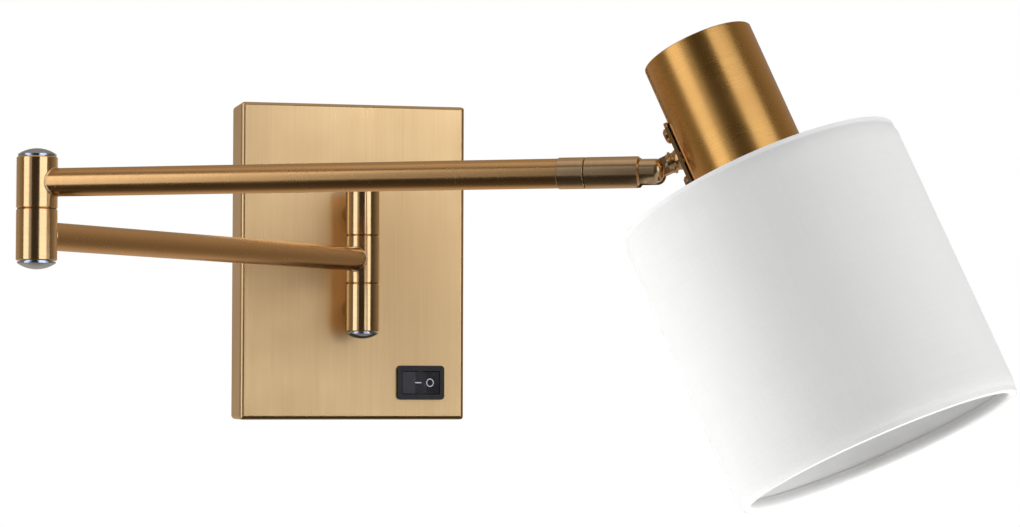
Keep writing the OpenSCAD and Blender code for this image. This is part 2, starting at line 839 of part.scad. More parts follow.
module tongue_nut() {
    color("silver") on_head() translate([strap_x + strap_t, 0, 0]) rotate([0, 90, 0]) difference() {
        hexagon(9, tongue_nut_t);
        translate([0, 0, -cut]) cylinder(r = stem_r, h = tongue_nut_t + 2 * cut);
    }
}

module head_screw_places() {
    for (sz = [-1, 1]) {
        translate([cup_bracket_x, 0, sz * cup_screw_pitch]) rotate([0, -90, 0]) children();
    }
}

module cup_bracket() {
    end_r = 2;
    color("peru") on_head() difference() {
        translate([cup_bracket_x, 0, 0]) rotate([0, 90, 0]) linear_extrude(cup_bracket_t)
            rounded_square(cup_bracket_h, cup_bracket_w, end_r);
        rod_x(stem_r, cup_bracket_x - cut, cup_bracket_x + cup_bracket_t + cut);
        head_screw_places() translate([0, 0, -cup_bracket_t - cut])
            cylinder(r = cup_screw_r, h = cup_bracket_t + 2 * cut);
    }
}

module cup_bracket_screws() {
    shank = strap_x + strap_t + 1 - cup_bracket_x;
    color("peru") on_head() head_screw_places()
        pan_screw(cup_screw_head_r, cup_screw_head_h, cup_screw_r, shank);
}

module cup() {
    edge = 0.3;
    h = cup_above + cup_below;
    color("darkgoldenrod") on_head() difference() {
        translate([cup_offset, 0, -cup_below]) rotate_extrude() difference() {
            union() {
                square([cup_r, h - edge]);
                square([cup_r - edge, h]);
                translate([cup_r - edge, h - edge]) circle(r = edge);
            }
            translate([-cup_r, -cup_r]) square([cup_r, 4 * cup_r]);
            square([cup_r - cup_wall, h - cup_wall]);
        }
        rod_x(stem_r, cup_gap - cut, strap_x);
        head_screw_places() translate([0, 0, -4]) cylinder(r = cup_screw_r, h = 5);
    }
}

module holder_strap() {
    color("silver") on_head() difference() {
        union() {
            translate([strap_x, -strap_w / 2, strap_floor - strap_t])
                cube([strap_t, strap_w, strap_top - strap_floor + strap_t]);
            translate([strap_x, -strap_w / 2, strap_floor - strap_t])
                cube([cup_offset - strap_x, strap_w, strap_t]);
            translate([cup_offset, 0, strap_floor - strap_t]) cylinder(r = strap_disc_r, h = strap_t);
        }
        rod_x(stem_r, strap_x - cut, strap_x + strap_t + cut);
        head_screw_places() translate([0, 0, -8]) cylinder(r = cup_screw_r, h = 8 + cut);
        translate([cup_offset, 0, strap_floor - strap_t - cut]) cylinder(r = nipple_r, h = strap_t + 2 * cut);
    }
}

module holder_nipple() {
    top = strap_floor + nipple_nut_t + 1;
    color("silver") on_cup_axis() translate([0, 0, holder_top - nipple_socket])
        tube(nipple_r, nipple_bore_r, top - holder_top + nipple_socket);
}

module nipple_nut() {
    color("silver") on_cup_axis() translate([0, 0, strap_floor]) difference() {
        hexagon(13, nipple_nut_t);
        translate([0, 0, -cut]) cylinder(r = nipple_r, h = nipple_nut_t + 2 * cut);
    }
}

module lamp_holder() {
    body_h = holder_top - holder_end;
    color("ghostwhite") on_cup_axis() difference() {
        union() {
            translate([0, 0, holder_end]) cylinder(r = holder_r, h = body_h - 2);
            translate([0, 0, holder_top - 2]) cylinder(r1 = holder_r, r2 = holder_r - 2, h = 2);
            translate([0, 0, skirt_low]) cylinder(r = skirt_r, h = skirt_top - skirt_low);
        }
        translate([0, 0, holder_end - cut])
            cylinder(r = socket_r + shell_wall, h = contact_base - holder_end + cut);
        translate([0, 0, holder_top - nipple_socket]) cylinder(r = nipple_r, h = nipple_socket + cut);
        translate([0, 0, holder_top - 2 * nipple_socket])
            cylinder(r = nipple_bore_r, h = nipple_socket + cut);
    }
}

module socket_shell() {
    mouth_gap = 3;
    color("gold") on_cup_axis() translate([0, 0, holder_end + mouth_gap])
        tube(socket_r + shell_wall, socket_r, shell_top - holder_end - mouth_gap);
}

module socket_contact() {
    spring_r = 4;
    spring_t = 0.6;
    tip_r = 1.6;
    tip_h = 2;
    color("gold") on_cup_axis() translate([0, 0, contact_base]) mirror([0, 0, 1]) union() {
        cylinder(r = spring_r, h = spring_t);
        cylinder(r = tip_r, h = tip_h);
    }
}

module shade_ring_nut() {
    grip_r = 1.4;
    grip_at = ring_nut_r + 0.6;
    color("ghostwhite") on_cup_axis() translate([0, 0, spider_z - spider_t - ring_nut_h]) difference() {
        tube(ring_nut_r, skirt_r, ring_nut_h);
        for (a = [0:30:330]) {
            rotate([0, 0, a]) translate([grip_at, 0, -cut])
                cylinder(r = grip_r, h = ring_nut_h + 2 * cut);
        }
    }
}

module torus(ring_r, wire) {
    rotate_extrude() translate([ring_r, 0]) circle(r = wire, $fn = 32);
}

module shade_spider() {
    ring_z = spider_z - spider_t;
    foot_r = spider_ring_r - 2;
    rise = top_wire_z - (ring_z + spider_t / 2);
    run = shade_ring_r - foot_r;
    color("white") on_cup_axis() union() {
        translate([0, 0, ring_z]) tube(spider_ring_r, skirt_r + 2 * fit_gap, spider_t);
        translate([0, 0, top_wire_z]) torus(shade_ring_r, shade_wire_r);
        for (a = [60:120:300]) {
            rotate([0, 0, a]) translate([foot_r, 0, ring_z + spider_t / 2])
                rotate([0, 90 - atan2(rise, run), 0])
                translate([0, 0, spoke_start]) cylinder(r = spoke_r, h = norm([rise, run]) - spoke_start);
        }
    }
}

module shade_bottom_ring() {
    color("white") on_cup_axis() translate([0, 0, bottom_wire_z]) torus(shade_ring_r, shade_wire_r);
}

module shade_liner() {
    color("white") on_cup_axis() translate([0, 0, shade_end + liner_inset])
        tube(liner_r, liner_r - liner_t, shade_h - 2 * liner_inset, $fn = 128);
}

module shade_fabric() {
    color("whitesmoke") on_cup_axis() translate([0, 0, shade_end])
        tube(shade_r, shade_r - fabric_t, shade_h, $fn = 128);
}

module lead_head() {
    color("ivory") on_head() wire(lead_r, [
        [eye_r + 0.7, 0, 0], [cup_offset, 0, 0], [cup_offset, 0, holder_top - 6]
    ]);
}

// Switch
module switch_housing() {
    color("black") on_switch() difference() {
        union() {
            linear_extrude(bezel_t) rounded_square(bezel_w, bezel_h, 1.6);
            translate([-housing_w / 2, -housing_h / 2, -housing_d])
                cube([housing_w, housing_h, housing_d + cut]);
        }
        translate([-window_w / 2, -window_gap_h / 2, 2 - housing_d])
            cube([window_w, window_gap_h, housing_d + bezel_t]);
        translate([0, window_gap_h / 2 + 1, rocker_pivot_z]) rotate([90, 0, 0])
            cylinder(r = rocker_pin_r + pivot_clearance, h = window_gap_h + 2);
        for (i = [-1, 0]) {
            translate([i * tab_pitch - tab_t / 2, -tab_w / 2, -housing_d - cut]) cube([tab_t, tab_w, 4]);
        }
    }
}

module switch_contacts() {
    tab_l = housing_d + tab_out + tab_top;
    color("goldenrod") on_switch() for (i = [-1, 0]) {
        translate([i * tab_pitch - tab_t / 2, -tab_w / 2, -housing_d - tab_out]) cube([tab_t, tab_w, tab_l]);
    }
}

module switch_rocker() {
    half = rocker_l / 2;
    foot = half - 0.9;
    waist = -1.8;
    color("black") on_rocker() difference() {
        union() {
            translate([0, rocker_h / 2, 0]) rotate([90, 0, 0]) linear_extrude(rocker_h) polygon([
                [-half, rocker_top], [-half * 0.3, rocker_top - 0.75], [half * 0.3, rocker_top - 0.75],
                [half, rocker_top], [foot, waist], [-foot, waist]
            ]);
            translate([0, rocker_h / 2 + rocker_pin_l, 0]) rotate([90, 0, 0])
                cylinder(r = rocker_pin_r, h = rocker_h + 2 * rocker_pin_l);
        }
    }
}

module switch_contact_arm() {
    color("gold") on_rocker() translate([-contact_arm_l / 2, -1.5, -2.5]) cube([contact_arm_l, 3, 0.6]);
}

module switch_wires() {
    tab_y = -plate_d + housing_d + tab_out / 2;
    start_z = switch_z + tab_w / 2 + fit_gap;
    block_low = block_z - block_h / 2;
    near_x = switch_x - tab_pitch;
    turn_z = -30;
    loop_z = 40;
    color("black") wire(wire_r, [
        [near_x, tab_y, start_z], [near_x, tab_y, turn_z], [block_pitch, tab_y, turn_z],
        [block_pitch, block_y, turn_z], [block_pitch, block_y, block_low + 2]
    ]);
    color("black") wire(wire_r, [
        [switch_x, tab_y, start_z], [switch_x, tab_y, loop_z], [block_pitch, tab_y, loop_z],
        [block_pitch, block_y, loop_z], [block_pitch, block_y, block_low + block_h - 2]
    ]);
}

wall_bracket();
back_plate();
cover_screws();
earth_screw();
terminal_block();
terminal_screws();
switch_housing();
switch_contacts();
switch_wires();
upper_post();
lower_post();
post_nuts();
post_washers();
wall_barrel_upper();
wall_barrel_lower();
wall_pivot_tube();
wall_pivot_washers();
wall_cap_upper();
wall_cap_lower();
lead_wall();
wall_knuckle();
lower_arm_tube();
elbow_knuckle_lower();
elbow_pivot_tube();
elbow_washer();
elbow_cap_upper();
elbow_cap_lower();
lead_lower_arm();
elbow_knuckle_upper();
upper_arm_tube();
swivel_collar();
lead_upper_arm();
swivel_body();
swivel_nut();
tilt_screw();
swivel_tongue();
tongue_washer();
tongue_boss();
tongue_nut();
cup_bracket();
cup_bracket_screws();
cup();
holder_strap();
holder_nipple();
nipple_nut();
lamp_holder();
socket_shell();
socket_contact();
shade_ring_nut();
shade_spider();
shade_bottom_ring();
shade_liner();
shade_fabric();
lead_head();
switch_rocker();
switch_contact_arm();
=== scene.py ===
# %% [markdown]
# A swing arm wall sconce: a brass plate with a rocker switch, two brass arms that fold
# like an elbow, a brass cup and a white fabric drum shade.
# The shapes come ready made as solids. This lesson sets up the studio, gives each solid its
# finish, and makes the shade's cloth, the socket's thread and a few small pieces anew.

import json
from math import atan2, cos, pi, radians, sin, sqrt

import bmesh
import bpy
from mathutils import Euler, Matrix, Vector


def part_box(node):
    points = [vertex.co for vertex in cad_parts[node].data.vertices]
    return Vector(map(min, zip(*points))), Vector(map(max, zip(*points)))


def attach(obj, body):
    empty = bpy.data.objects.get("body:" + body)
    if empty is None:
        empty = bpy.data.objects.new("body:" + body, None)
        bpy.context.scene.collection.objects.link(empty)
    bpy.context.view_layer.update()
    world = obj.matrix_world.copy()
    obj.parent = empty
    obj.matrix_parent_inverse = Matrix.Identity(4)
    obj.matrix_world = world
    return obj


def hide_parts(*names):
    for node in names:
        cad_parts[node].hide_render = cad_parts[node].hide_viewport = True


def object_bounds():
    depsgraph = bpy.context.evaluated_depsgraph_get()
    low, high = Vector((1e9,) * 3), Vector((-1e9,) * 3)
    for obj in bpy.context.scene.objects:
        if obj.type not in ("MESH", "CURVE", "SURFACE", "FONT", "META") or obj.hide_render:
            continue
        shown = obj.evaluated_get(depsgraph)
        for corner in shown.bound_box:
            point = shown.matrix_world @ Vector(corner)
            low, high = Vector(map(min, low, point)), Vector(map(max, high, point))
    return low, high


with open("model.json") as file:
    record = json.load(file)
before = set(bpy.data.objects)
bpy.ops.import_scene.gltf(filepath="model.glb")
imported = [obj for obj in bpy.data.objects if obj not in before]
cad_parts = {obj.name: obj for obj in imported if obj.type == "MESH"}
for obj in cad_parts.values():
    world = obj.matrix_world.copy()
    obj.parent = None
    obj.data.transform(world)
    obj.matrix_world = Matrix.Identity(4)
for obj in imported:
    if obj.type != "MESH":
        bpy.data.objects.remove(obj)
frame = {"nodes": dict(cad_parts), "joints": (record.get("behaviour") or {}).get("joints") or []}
solid_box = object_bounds()
joints = {joint["name"]: joint for joint in frame["joints"]}

# %% [markdown]
# The camera stands left of the lamp and a little below it, with a long lens.
# A long lens keeps the arms straight and the drum's ellipse calm.
# A camera looks along its own -Z, so it is aimed with to_track_quat.

# %% Camera
LENS_MM = 98.8
SENSOR_MM = 36.0
CAMERA_AT = Vector((-0.2293, -1.2366, -0.0512))
CAMERA_YAW = radians(13.92)
CAMERA_PITCH = radians(2.35)
CAMERA_ROLL = radians(0.14)

camera_data = bpy.data.cameras.new("camera")
camera_data.lens = LENS_MM
camera_data.sensor_width = SENSOR_MM
camera = bpy.data.objects.new("camera", camera_data)
bpy.context.scene.collection.objects.link(camera)
look = Vector((sin(CAMERA_YAW) * cos(CAMERA_PITCH), cos(CAMERA_YAW) * cos(CAMERA_PITCH), sin(CAMERA_PITCH)))
camera.rotation_mode = "QUATERNION"
camera.rotation_quaternion = look.to_track_quat("-Z", "Y") @ Euler((0, 0, CAMERA_ROLL)).to_quaternion()
camera.location = CAMERA_AT
bpy.context.scene.camera = camera
print("camera looks along", [round(x, 3) for x in look])

# %% [markdown]
# A material is a small tree of nodes, and so is the room round the lamp. These helpers add a
# node, set its sockets and link it, so that each recipe below reads as a list of what feeds
# what.

# %% Node helpers


class Recipe:
    """One material's or node group's tree, with short ways to add and link nodes."""

    def __init__(self, tree):
        self.tree = tree

    def add(self, kind, **values):
        node = self.tree.nodes.new(kind)
        for key, value in values.items():
            if hasattr(node, key):
                setattr(node, key, value)
            else:
                self.feed(node.inputs[key.replace("_", " ")], value)
        return node

    def feed(self, socket, value):
        if isinstance(value, bpy.types.NodeSocket):
            self.tree.links.new(value, socket)
        else:
            socket.default_value = value

    def sum(self, operation, a, b=None, c=None):
        node = self.tree.nodes.new("ShaderNodeMath")
        node.operation = operation
        for socket, value in zip(node.inputs, (a, b, c)):
            if value is not None:
                self.feed(socket, value)
        return node.outputs[0]

    def blend(self, share, first, second, how="MIX"):
        node = self.tree.nodes.new("ShaderNodeMix")
        node.data_type = "RGBA"
        node.blend_type = how
        self.feed(node.inputs["Factor"], share)
        self.feed(node.inputs["A"], first)
        self.feed(node.inputs["B"], second)
        return node.outputs["Result"]

    def range(self, value, low, high, to_low, to_high):
        node = self.tree.nodes.new("ShaderNodeMapRange")
        for key, number in (("From Min", low), ("From Max", high), ("To Min", to_low), ("To Max", to_high)):
            self.feed(node.inputs[key], number)
        self.feed(node.inputs["Value"], value)
        return node.outputs["Result"]


def new_group(name, inputs, outputs):
    """An empty node group with named sockets. Returns it, its recipe and its input's sockets."""
    group = bpy.data.node_groups.new(name, "ShaderNodeTree")
    for socket, kind, value in inputs:
        made = group.interface.new_socket(socket, in_out="INPUT", socket_type=kind)
        made.default_value = value
    for socket, kind in outputs:
        group.interface.new_socket(socket, in_out="OUTPUT", socket_type=kind)
    recipe = Recipe(group)
    given = group.nodes.new("NodeGroupInput").outputs
    out = group.nodes.new("NodeGroupOutput").inputs
    return group, recipe, given, out


def place_group(recipe, group, **values):
    node = recipe.tree.nodes.new("ShaderNodeGroup")
    node.node_tree = group
    for key, value in values.items():
        recipe.feed(node.inputs[key.replace("_", " ")], value)
    return node


def new_material(name):
    """A material with one Principled shader. Returns it, its recipe and the shader."""
    material = bpy.data.materials.new(name)
    material.use_nodes = True
    material.node_tree.nodes.clear()
    recipe = Recipe(material.node_tree)
    shader = recipe.add("ShaderNodeBsdfPrincipled")
    output = recipe.add("ShaderNodeOutputMaterial")
    material.node_tree.links.new(shader.outputs[0], output.inputs["Surface"])
    return material, recipe, shader


FLOAT, VECTOR = "NodeSocketFloat", "NodeSocketVector"
print("helpers ready")

# %% [markdown]
# Brass shows what stands round it, so the studio is most of its look. Two tall soft boxes
# stand left and right of the camera with a dark gap between them, which draws a pale, dark and
# pale stripe down each barrel. A dim strip softens the left one's edge, and a weak box hangs
# overhead. Four more lamps that metal doesn't see model the white drum.

# %% Lamps
STUDIO_CENTRE = Vector((0.0, -0.2, 0.0))


def soft_box(name, azimuth, elevation, distance, size, power, seen_in_metal=True):
    """A rectangular lamp aimed at the object. Azimuth 0 is in front, and positive is to the right."""
    data = bpy.data.lights.new(name, "AREA")
    data.shape = "RECTANGLE"
    data.size, data.size_y = size
    data.energy = power
    lamp = bpy.data.objects.new(name, data)
    a, e = radians(azimuth), radians(elevation)
    away = Vector((sin(a) * cos(e), -cos(a) * cos(e), sin(e)))
    lamp.location = STUDIO_CENTRE + away * distance
    lamp.rotation_mode = "QUATERNION"
    lamp.rotation_quaternion = away.to_track_quat("Z", "Y")
    lamp.visible_camera = False
    lamp.visible_glossy = seen_in_metal
    bpy.context.scene.collection.objects.link(lamp)


soft_box("box_left", -67, 10, 1.5, (0.80, 1.7), 5.6)
soft_box("box_left_dim", -45, 10, 1.5, (0.3, 1.7), 0.5)
soft_box("box_right", 26, 11, 1.4, (1.12, 1.5), 7.2)
soft_box("box_over", -10, 78, 1.5, (1.6, 1.0), 1.2)
soft_box("fill_left", -112, 4, 2.0, (1.2, 1.6), 38, seen_in_metal=False)
soft_box("fill_right", 61, 4, 2.0, (1.0, 1.6), 17, seen_in_metal=False)
soft_box("fill_low", 45, -60, 2.0, (1.6, 1.2), 32, seen_in_metal=False)
soft_box("fill_front", 0, -20, 2.0, (1.6, 0.8), 2.5, seen_in_metal=False)
print(len(bpy.data.lights), "lamps")

# %% [markdown]
# Between the lamps, metal sees a room: dark on the camera's side, paler behind the lamp, and
# changing from low to high. Each change is a ramp of greys along one direction, and two ramps
# are multiplied. The room is warm where metal sees it, because brass shows warm walls. The
# camera itself sees plain white.

# %% The room
ROOM_TINT = (1.0, 0.80, 0.58, 1)
ROOM_STRENGTH = 2.0
BACKDROP = (1, 1, 1, 1)
world = bpy.data.worlds.new("studio")
bpy.context.scene.world = world
world.use_nodes = True
world.node_tree.nodes.clear()
room = Recipe(world.node_tree)


def room_ramp(direction, stops):
    """A grey that changes with a direction that runs from -1 to 1."""
    from_zero = room.sum("MULTIPLY_ADD", direction, 0.5, 0.5)
    node = room.add("ShaderNodeValToRGB", Fac=from_zero)
    for i, (place, grey) in enumerate(stops):
        stop = node.color_ramp.elements[i] if i < 2 else node.color_ramp.elements.new(0.5)
        stop.position = place * 0.5 + 0.5
        stop.color = (grey, grey, grey, 1)
    return node.outputs["Color"]


ray = room.add("ShaderNodeLightPath").outputs
where = room.add("ShaderNodeTexCoord")
split = room.add("ShaderNodeSeparateXYZ", Vector=where.outputs["Generated"])
depth, height = split.outputs["Y"], split.outputs["Z"]
round_the_room = room_ramp(depth, [(-1, 0.04), (1, 0.38), (-0.65, 0.05), (-0.3, 0.12), (0.15, 0.14),
                                   (0.7, 0.36)])
in_front = room_ramp(height, [(-0.6, 0.20), (1, 0.9), (0.0, 0.45), (0.6, 0.7)])
behind = room_ramp(height, [(-0.9, 1.0), (1, 0.45), (0.0, 0.55)])
is_behind = room_ramp(depth, [(0.15, 0.0), (0.8, 1.0)])
up_and_down = room.blend(is_behind, in_front, behind)
grey_room = room.blend(1.0, round_the_room, up_and_down, "MULTIPLY")
warm_room = room.blend(ray["Is Glossy Ray"], grey_room, ROOM_TINT, "MULTIPLY")
walls = room.add("ShaderNodeBackground", Color=warm_room, Strength=ROOM_STRENGTH)
backdrop = room.add("ShaderNodeBackground", Color=BACKDROP)
pick = room.add("ShaderNodeMixShader", Fac=ray["Is Camera Ray"])
room.feed(pick.inputs[1], walls.outputs[0])
room.feed(pick.inputs[2], backdrop.outputs[0])
room.add("ShaderNodeOutputWorld", Surface=pick.outputs[0])
bpy.context.scene.view_settings.view_transform = "Standard"
print("room:", len(world.node_tree.nodes), "nodes")

# %% [markdown]
# The floor is a plain pale disc a good way below the lamp. Metal doesn't see it, so each tube
# keeps a dark underside, and it casts no shadow, so that the low lamp can shine through it.

# %% Floor
FLOOR_DROP = 0.90
FLOOR_HALF = 2.2
shape = bmesh.new()
bmesh.ops.create_circle(shape, cap_ends=True, segments=96, radius=FLOOR_HALF,
                        matrix=Matrix.Translation((0, 0, solid_box[0].z - FLOOR_DROP)))
floor_mesh = bpy.data.meshes.new("floor")
shape.to_mesh(floor_mesh)
shape.free()
floor = bpy.data.objects.new("floor", floor_mesh)
bpy.context.scene.collection.objects.link(floor)
floor.visible_glossy = False
floor.visible_shadow = False
print("floor at", round(floor_mesh.vertices[0].co.z, 3))

# %% [markdown]
# Every pattern needs to know how its piece lies: the lines left by polishing run round a
# tube, not round the world. The joints give each arm's place and direction, and a Mapping
# node of the Texture kind then turns the piece's coordinates so that X runs along the tube.

# %% Where each piece lies
pivot = {name: Vector(joint["pos_m"]) for name, joint in joints.items()}
turn_axis = {name: Vector(joint["axis"]).normalized() for name, joint in joints.items()}
HEAD_LEAN = radians(24.8)
CUP_OFFSET = 0.0309


def lie(at, along, side):
    """A frame with its X along the piece and its Y to one side."""
    x = Vector(along).normalized()
    z = x.cross(Vector(side)).normalized()
    return Matrix.Translation(at) @ Matrix((x, z.cross(x), z)).transposed().to_4x4()


swivel_up = turn_axis["head_swivel"].cross(turn_axis["head_tilt"])
head_out = turn_axis["head_swivel"] * cos(HEAD_LEAN) + swivel_up * sin(HEAD_LEAN)
head_up = swivel_up * cos(HEAD_LEAN) - turn_axis["head_swivel"] * sin(HEAD_LEAN)
upper_at = Vector((pivot["elbow_pivot"].x, pivot["elbow_pivot"].y, pivot["head_tilt"].z))
cup_at = pivot["head_tilt"] + head_out * CUP_OFFSET
places = {
    "plate": Matrix.Identity(4),
    "wall_axis": lie(pivot["wall_pivot"], (0, 0, 1), (0, 1, 0)),
    "posts": lie((0, 0, 0), (0, 1, 0), (1, 0, 0)),
    "lower_arm": lie(pivot["wall_pivot"], pivot["elbow_pivot"] - pivot["wall_pivot"], (0, 0, 1)),
    "elbow_axis": lie(pivot["elbow_pivot"], (0, 0, 1), (0, 1, 0)),
    "upper_arm": lie(upper_at, turn_axis["head_swivel"], (0, 0, 1)),
    "tilt": lie(pivot["head_tilt"], turn_axis["head_tilt"], turn_axis["head_swivel"]),
    "head": lie(pivot["head_tilt"], head_out, turn_axis["head_tilt"]),
    "cup_axis": lie(cup_at, head_up, turn_axis["head_tilt"]),
}
for name, place in places.items():
    print(name, [round(x, 3) for x in place.translation])

# %% [markdown]
# Satin brass is combed with a fine abrasive and then lacquered. Up close it is thousands of
# hair lines, all one way, and their shade varies a little from one to the next. The group
# squeezes a noise along one axis to draw them, and adds wide soft clouds for the places
# where a hand or a cloth went over the lacquer.

# %% Group: combed lines
WIDE_LINES = 0.16
FINE_SHARE = 0.65
SPECK_SCALE = 420.0
combed, g, given, out = new_group(
    "combed lines",
    [("Place", VECTOR, (0, 0, 0)), ("Turn", VECTOR, (0, 0, 0)), ("Squeeze", VECTOR, (1, 1, 1)),
     ("Line Scale", FLOAT, 900.0), ("Cloud Scale", FLOAT, 18.0)],
    [("Lines", FLOAT), ("Clouds", FLOAT), ("Specks", FLOAT)],
)
spot = g.add("ShaderNodeTexCoord")
local = g.add("ShaderNodeMapping", vector_type="TEXTURE", Vector=spot.outputs["Object"],
              Location=given["Place"], Rotation=given["Turn"])
squeezed = g.add("ShaderNodeVectorMath", operation="MULTIPLY")
g.feed(squeezed.inputs[0], local.outputs[0])
g.feed(squeezed.inputs[1], given["Squeeze"])
fine = g.add("ShaderNodeTexNoise", Vector=squeezed.outputs[0], Scale=given["Line Scale"],
             Detail=0.8, Roughness=0.5)
wide = g.add("ShaderNodeTexNoise", Vector=squeezed.outputs[0],
             Scale=g.sum("MULTIPLY", given["Line Scale"], WIDE_LINES), Detail=2.0, Roughness=0.5)
both = g.sum("MULTIPLY_ADD", fine.outputs["Fac"], FINE_SHARE,
             g.sum("MULTIPLY", wide.outputs["Fac"], 1 - FINE_SHARE))
clouds = g.add("ShaderNodeTexNoise", Vector=local.outputs[0], Scale=given["Cloud Scale"],
               Detail=3.0, Roughness=0.55)
dots = g.add("ShaderNodeTexVoronoi", Vector=local.outputs[0], Scale=SPECK_SCALE)
g.feed(out["Lines"], both)
g.feed(out["Clouds"], clouds.outputs["Fac"])
g.feed(out["Specks"], g.range(dots.outputs["Distance"], 0.05, 0.12, 1.0, 0.0))
print("combed lines:", len(combed.nodes), "nodes")

# %% [markdown]
# One recipe makes every brass on the lamp. What changes from piece to piece is the colour of
# the metal, how rough the comb left it, which way the lines run, and how thick the clear
# lacquer lies on it. Lacquer is the coat: a thin glossy skin that adds the white glint.

# %% Recipe: brass
MM = 0.001
HAZE_SHARE = 0.22
SPECK_ROUGH = 0.06
LINE_SMOOTHER, LINE_ROUGHER = -0.012, 0.016
LACQUER_IOR = 1.45


def brass(name, place, colour, deep, roughness, squeeze, line_scale=900.0, bump=0.02, coat=0.25,
          coat_roughness=0.12, spread=0.35, cloud=0.05):
    """A lacquered brass with combed lines along the axes that squeeze leaves long."""
    material, r, shader = new_material(name)
    look = place_group(r, combed, Place=place.translation, Turn=place.to_euler(), Squeeze=squeeze,
                       Line_Scale=line_scale)
    lines, haze = look.outputs["Lines"], look.outputs["Clouds"]
    toned = r.blend(r.range(lines, 0.3, 0.7, 0.0, spread), (*colour, 1), (*deep, 1))
    toned = r.blend(r.range(haze, 0.35, 0.75, 0.0, HAZE_SHARE), toned, (*deep, 1))
    r.feed(shader.inputs["Base Color"], toned)
    shader.inputs["Metallic"].default_value = 1.0
    clouded = r.range(haze, 0.3, 0.7, roughness - cloud, roughness + cloud)
    lined = r.sum("ADD", clouded, r.range(lines, 0.3, 0.7, LINE_SMOOTHER, LINE_ROUGHER))
    specked = r.sum("ADD", lined, r.sum("MULTIPLY", look.outputs["Specks"], SPECK_ROUGH))
    r.feed(shader.inputs["Roughness"], specked)
    shader.inputs["Coat Weight"].default_value = coat
    shader.inputs["Coat Roughness"].default_value = coat_roughness
    shader.inputs["Coat IOR"].default_value = LACQUER_IOR
    relief = r.add("ShaderNodeBump", Strength=1.0, Distance=bump * MM, Height=lines)
    r.feed(shader.inputs["Normal"], relief.outputs[0])
    return material


def finish(material, *names):
    """Puts a material on solids, in place of the plain one that they came with."""
    for name in names:
        solid = frame["nodes"][name]
        for slot in solid.material_slots:
            slot.material = material


ROUND = (1.0, 0.03, 0.03)
UPRIGHT = (1.0, 1.0, 0.02)
print("brass recipe ready")

# %% [markdown]
# The plate is combed upright and left the dullest. Barrels and posts are turned and polished
# bright, the tubes are a little softer, and the cup is a deeper yellow under thicker lacquer.
# The tongue and its bracket are darker, and the parts inside are left bare. Pieces of one make
# share their numbers, and only the place that their lines follow changes.

# %% Brass pieces
PLATE = dict(colour=(0.83, 0.60, 0.335), deep=(0.74, 0.49, 0.235), roughness=0.32, squeeze=UPRIGHT,
             line_scale=1300.0, bump=0.01, coat=0.18, coat_roughness=0.2)
POST = dict(colour=(0.80, 0.55, 0.28), deep=(0.66, 0.42, 0.19), roughness=0.2, squeeze=ROUND, bump=0.004)
BARREL = dict(colour=(0.86, 0.61, 0.34), deep=(0.72, 0.46, 0.22), roughness=0.14, squeeze=ROUND,
              line_scale=1500.0, bump=0.002, coat=0.35, coat_roughness=0.06)
TUBE = dict(colour=(0.78, 0.48, 0.22), deep=(0.68, 0.38, 0.15), roughness=0.25, squeeze=ROUND,
            bump=0.0012, spread=0.15)
COLLAR = dict(colour=(0.76, 0.55, 0.34), deep=(0.60, 0.42, 0.23), roughness=0.22, squeeze=ROUND,
              line_scale=1800.0, bump=0.006)
TONGUE = dict(colour=(0.62, 0.38, 0.18), deep=(0.38, 0.20, 0.08), roughness=0.22, squeeze=ROUND,
              line_scale=1200.0, bump=0.006)
CUP = dict(colour=(0.70, 0.40, 0.125), deep=(0.62, 0.32, 0.08), roughness=0.25, squeeze=ROUND,
           line_scale=1500.0, bump=0.002, coat=0.45, coat_roughness=0.16, spread=0.25)
BARE = dict(colour=(0.80, 0.58, 0.30), deep=(0.62, 0.40, 0.17), roughness=0.3, squeeze=ROUND)
for name, place, look, solids in (
    ("plate_brass", "plate", PLATE, ["back_plate", "cover_screws"]),
    ("post_brass", "posts", POST, ["upper_post", "lower_post"]),
    ("wall_barrel_brass", "wall_axis", BARREL, ["wall_barrel_upper", "wall_barrel_lower", "wall_knuckle"]),
    ("elbow_barrel_brass", "elbow_axis", BARREL, ["elbow_knuckle_lower", "elbow_knuckle_upper"]),
    ("lower_tube_brass", "lower_arm", TUBE, ["lower_arm_tube"]),
    ("upper_tube_brass", "upper_arm", TUBE, ["upper_arm_tube"]),
    ("collar_brass", "upper_arm", COLLAR, ["swivel_collar", "swivel_body"]),
    ("tongue_brass", "head", TONGUE, ["swivel_tongue", "tongue_washer", "tongue_boss", "cup_bracket",
                                      "cup_bracket_screws"]),
    ("cup_brass", "cup_axis", CUP, ["cup"]),
    ("bare_brass_wall", "wall_axis", BARE, ["wall_pivot_tube", "earth_screw"]),
    ("bare_brass_elbow", "elbow_axis", BARE, ["elbow_pivot_tube"]),
):
    finish(brass(name, places[place], **look), *solids)
print("brass pieces done")

# %% [markdown]
# Turned parts that aren't brass: nickel on the end caps, and zinc on the nuts, the washers
# and the wall bracket. Nickel is nearly a mirror. Its colour is painted blue so that the warm room it
# reflects comes out a cool bluish grey, which is a painted reflection tint. Zinc is duller, with the clouded
# grey patches that barrel plating leaves.

# %% Recipe: plated steel
SPOT_SHARE = 0.35
SPOT_GREY = (0.25, 0.24, 0.23, 1)


